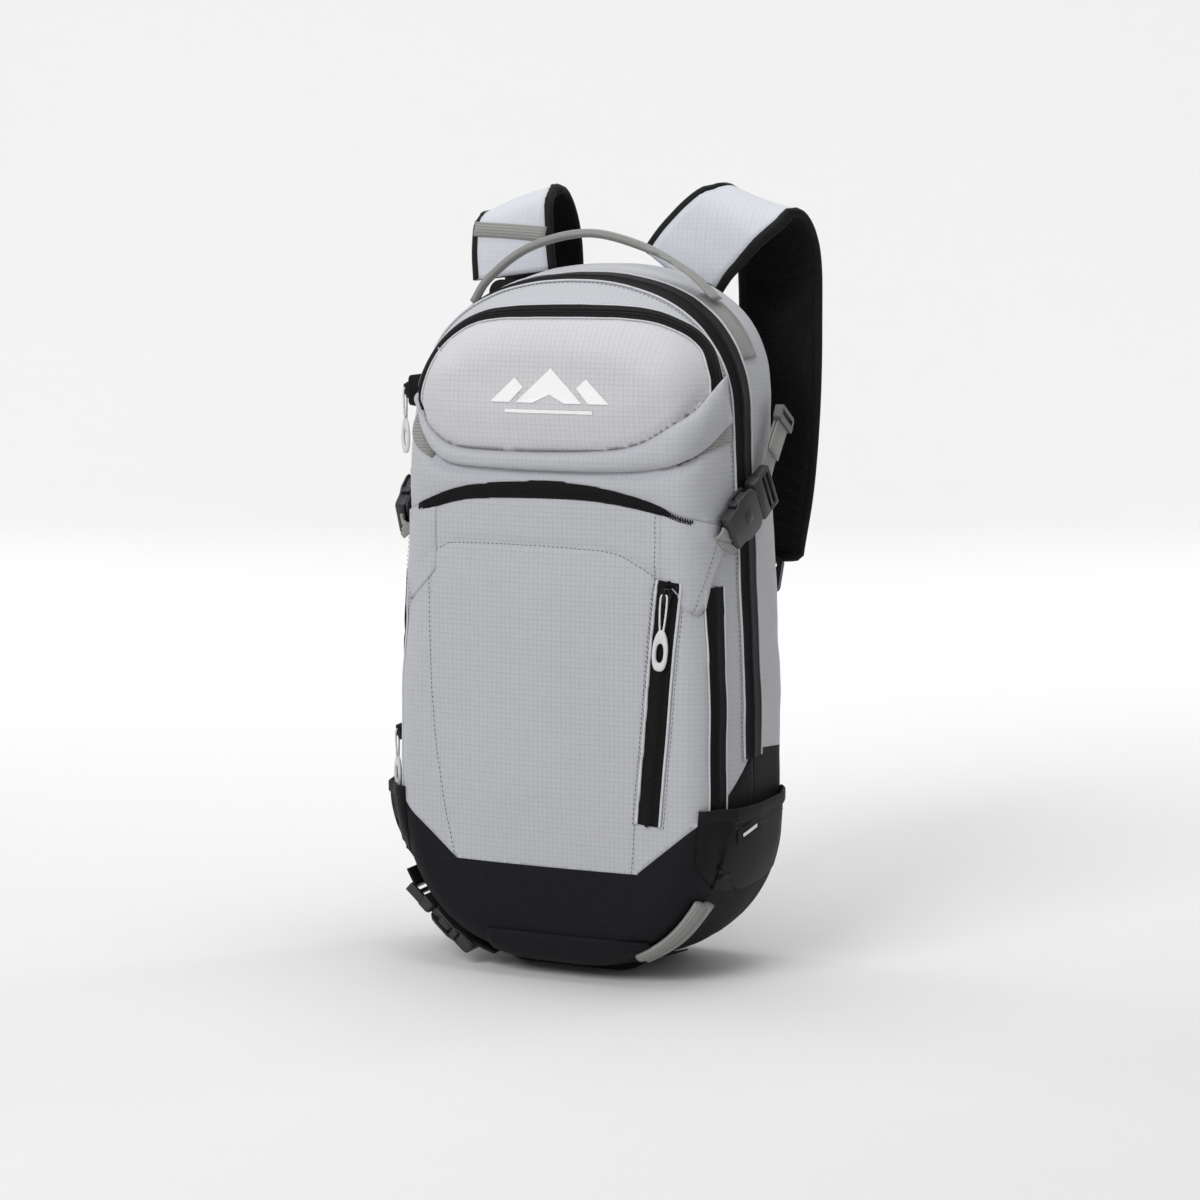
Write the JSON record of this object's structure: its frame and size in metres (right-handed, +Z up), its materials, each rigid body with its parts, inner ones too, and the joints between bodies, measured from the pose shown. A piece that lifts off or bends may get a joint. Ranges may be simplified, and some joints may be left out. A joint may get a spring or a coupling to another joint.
{
  "type": "ski touring backpack",
  "caption": "Slim upright ski backpack with two fold-down zipped panels, goggle pocket, side pouches, compression buckles, haul handle and padded shoulder straps.",
  "frame": {"origin": "centre of the base pad's underside, where the pack stands", "axes": "+Z up, +Y towards the wearer's back (the harness side), +X to the right of a viewer who faces the front pocket"},
  "size_m": [0.2944, 0.2311, 0.5535],
  "materials": {
    "light_fabric": "ripstop weave, coated",
    "panel_fabric": "smooth laminated weave",
    "dark_fabric": "coarse coated weave",
    "zip_tape": "knitted tape, semi-matt",
    "webbing": "ribbed flat webbing",
    "strap_fabric": "smooth stretch weave",
    "mesh": "open spacer mesh",
    "foam": "closed-cell foam",
    "fleece": "brushed lining",
    "buckle_plastic": "moulded, fine texture",
    "sheet_plastic": "extruded sheet",
    "slider_metal": "black lacquer",
    "pull_rubber": "soft translucent white",
    "dark_rubber": "soft matt black",
    "white_mark": "flat transfer print"
  },
  "bodies": {
    "pack": {"pack_shell": "light_fabric", "side_pocket_left": "dark_fabric", "side_pocket_right": "dark_fabric", "base_pad": "dark_fabric", "back_panel": "dark_fabric", "back_pads": "mesh", "frame_sheet": "sheet_plastic", "back_foam": "foam", "main_zip_back_tape": "zip_tape", "compression_rings": "buckle_plastic", "lower_sleeve": "dark_fabric", "lower_web_right": "webbing", "lower_female": "buckle_plastic", "lower_web_inner": "webbing", "handle_patches": "webbing", "shoulder_yoke": "mesh", "foot_tabs": "dark_fabric", "side_tag": "white_mark"},
    "main_flap": {"main_panel": "panel_fabric", "goggle_pocket": "panel_fabric", "goggle_lining": "fleece", "main_zip_front_tape": "zip_tape", "pocket_zip_back_tape": "zip_tape", "goggle_zip_tape": "zip_tape", "badge": "white_mark"},
    "pocket_flap": {"pocket_cover": "light_fabric", "pocket_zip_front_tape": "zip_tape", "chest_zip_tape": "zip_tape", "cover_wing_left": "light_fabric", "cover_wing_right": "light_fabric", "wing_webbing": "webbing", "compression_female_left": "buckle_plastic", "compression_female_right": "buckle_plastic"},
    "compression_plug_left": {"compression_male_left": "buckle_plastic", "compression_web_left": "webbing"},
    "compression_plug_right": {"compression_male_right": "buckle_plastic", "compression_web_right": "webbing"},
    "lower_plug": {"lower_male": "buckle_plastic", "lower_web_left": "webbing"},
    "handle": {"haul_handle": "webbing"},
    "harness": {"shoulder_strap_left": "strap_fabric", "shoulder_strap_right": "strap_fabric", "ladder_locks": "buckle_plastic", "adjuster_web_left": "webbing", "adjuster_web_right": "webbing"},
    "sternum_strap": {"sternum_clips": "buckle_plastic", "sternum_female": "buckle_plastic", "sternum_web_left": "webbing"},
    "sternum_plug": {"sternum_male": "buckle_plastic", "sternum_web_right": "webbing"},
    "chest_slider": {"chest_slider": "slider_metal"},
    "chest_pull": {"chest_pull": "pull_rubber"},
    "goggle_slider": {"goggle_slider": "slider_metal"},
    "goggle_pull": {"goggle_pull": "pull_rubber"},
    "main_upper_slider": {"main_upper_slider": "slider_metal"},
    "main_upper_pull": {"main_upper_pull": "dark_rubber"},
    "main_lower_slider": {"main_lower_slider": "slider_metal"},
    "main_lower_pull": {"main_lower_pull": "dark_rubber"},
    "pocket_slider": {"pocket_slider": "slider_metal"},
    "pocket_pull": {"pocket_pull": "pull_rubber"}
  },
  "joints": [
    {"name": "main_flap_fold", "type": "hinge", "parent": "pack", "child": "main_flap", "pos_m": [0, -0.08, 0.082], "axis": [1, 0, 0], "range_deg": [0, 45]},
    {"name": "pocket_flap_fold", "type": "hinge", "parent": "main_flap", "child": "pocket_flap", "pos_m": [0, -0.08, 0.082], "axis": [1, 0, 0], "range_deg": [0, 60]},
    {"name": "compression_unclip_left", "type": "slide", "parent": "pocket_flap", "child": "compression_plug_left", "axis": [0, 0.8746, 0.4848], "range_m": [0, 0.028]},
    {"name": "compression_unclip_right", "type": "slide", "parent": "pocket_flap", "child": "compression_plug_right", "axis": [0, 0.8746, 0.4848], "range_m": [0, 0.028]},
    {"name": "lower_unclip", "type": "slide", "parent": "pack", "child": "lower_plug", "axis": [-0.7431, 0, 0.6691], "range_m": [0, 0.028]},
    {"name": "handle_swing", "type": "hinge", "parent": "pack", "child": "handle", "pos_m": [0, 0.004, 0.484], "axis": [1, 0, 0], "range_deg": [-25, 25]},
    {"name": "harness_swing", "type": "hinge", "parent": "pack", "child": "harness", "pos_m": [0, 0.063, 0.492], "axis": [1, 0, 0], "range_deg": [0, 20], "deforming": ["adjuster_web_left", "adjuster_web_right"]},
    {"name": "sternum_height", "type": "slide", "parent": "harness", "child": "sternum_strap", "axis": [0, 0, 1], "range_m": [-0.03, 0.03]},
    {"name": "sternum_unclip", "type": "slide", "parent": "sternum_strap", "child": "sternum_plug", "axis": [1, 0, 0], "range_m": [0, 0.028]},
    {"name": "chest_zip", "type": "slide", "parent": "pocket_flap", "child": "chest_slider", "axis": [-0.0802, 0, -0.9968], "range_m": [0, 0.14]},
    {"name": "chest_pull_swing", "type": "hinge", "parent": "chest_slider", "child": "chest_pull", "pos_m": [0.0922, -0.0864, 0.28003], "axis": [-0.9968, 0, 0.0802], "range_deg": [0, 120]},
    {"name": "goggle_zip", "type": "slide", "parent": "main_flap", "child": "goggle_slider", "axis": [0, 0, 1], "range_m": [0, 0.012]},
    {"name": "goggle_pull_swing", "type": "hinge", "parent": "goggle_slider", "child": "goggle_pull", "pos_m": [-0.1364, -0.042, 0.414], "axis": [0, 1, 0], "range_deg": [0, 120]},
    {"name": "main_upper_zip", "type": "slide", "parent": "pack", "child": "main_upper_slider", "axis": [0, 0, 1], "range_m": [0, 0.12]},
    {"name": "main_upper_pull_swing", "type": "hinge", "parent": "main_upper_slider", "child": "main_upper_pull", "pos_m": [-0.1384, -0.018, 0.19], "axis": [0, 1, 0], "range_deg": [0, 120]},
    {"name": "main_lower_zip", "type": "slide", "parent": "pack", "child": "main_lower_slider", "axis": [0, 0, -1], "range_m": [0, 0.015]},
    {"name": "main_lower_pull_swing", "type": "hinge", "parent": "main_lower_slider", "child": "main_lower_pull", "pos_m": [-0.1384, -0.018, 0.158], "axis": [0, 1, 0], "range_deg": [0, 120]},
    {"name": "pocket_zip", "type": "slide", "parent": "main_flap", "child": "pocket_slider", "axis": [0, 0, 1], "range_m": [0, 0.1]},
    {"name": "pocket_pull_swing", "type": "hinge", "parent": "pocket_slider", "child": "pocket_pull", "pos_m": [-0.1384, -0.0548, 0.166], "axis": [0, 1, 0], "range_deg": [0, 120]}
  ]
}
